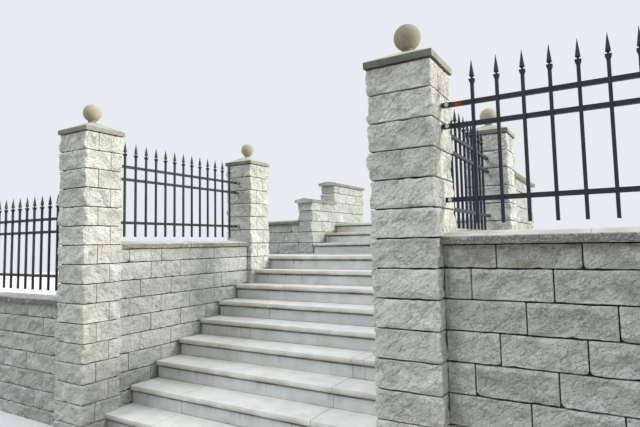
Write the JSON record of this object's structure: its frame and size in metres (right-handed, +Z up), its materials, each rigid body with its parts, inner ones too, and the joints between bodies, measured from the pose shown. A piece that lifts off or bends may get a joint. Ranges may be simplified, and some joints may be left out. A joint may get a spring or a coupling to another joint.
{
  "type": "entrance stair with balustrade",
  "caption": "Entrance stair between block-built balustrades: capped pillars with stone balls, coped walls, spear-topped iron railings, a landing and an upper flight between parapets.",
  "frame": {"origin": "on the ground, at the middle of the whole assembly's width and depth", "axes": "+X along the street front to the right of someone who faces the stair, +Y up the stair towards the house, +Z up"},
  "size_m": [8.96, 6.115, 2.951],
  "materials": {
    "block_stone": "split face",
    "slab_stone": "sawn and worn",
    "cap_stone": "smooth cast, weathered",
    "ball_stone": "smooth cast, pitted",
    "iron_paint": "satin, chipped"
  },
  "bodies": {
    "root": {"pillar_front_left": "block_stone", "pillar_front_right": "block_stone", "pillar_back_left": "block_stone", "pillar_back_right": "block_stone", "pillar_end_left": "block_stone", "pillar_end_right": "block_stone", "cap_front_left": "cap_stone", "cap_front_right": "cap_stone", "cap_back_left": "cap_stone", "cap_back_right": "cap_stone", "cap_end_left": "cap_stone", "cap_end_right": "cap_stone", "ball_front_left": "ball_stone", "ball_front_right": "ball_stone", "ball_back_left": "ball_stone", "ball_back_right": "ball_stone", "ball_end_left": "ball_stone", "ball_end_right": "ball_stone", "garden_wall_left": "block_stone", "garden_wall_right": "block_stone", "stair_wall_left": "block_stone", "stair_wall_right": "block_stone", "garden_coping_left": "slab_stone", "garden_coping_right": "slab_stone", "stair_coping_left": "slab_stone", "stair_coping_right": "slab_stone", "garden_railing_left": "iron_paint", "garden_railing_right": "iron_paint", "stair_railing_left": "iron_paint", "stair_railing_right": "iron_paint", "lower_core": "block_stone", "lower_treads": "slab_stone", "lower_risers": "slab_stone", "landing_core": "block_stone", "landing_slab": "slab_stone", "landing_wall_left": "block_stone", "landing_coping_left": "slab_stone", "landing_wall_right": "block_stone", "landing_coping_right": "slab_stone", "upper_core": "block_stone", "upper_treads": "slab_stone", "upper_risers": "slab_stone", "parapet_left": "block_stone", "parapet_right": "block_stone", "parapet_coping_left": "slab_stone", "parapet_coping_right": "slab_stone"}
  },
  "joints": []
}
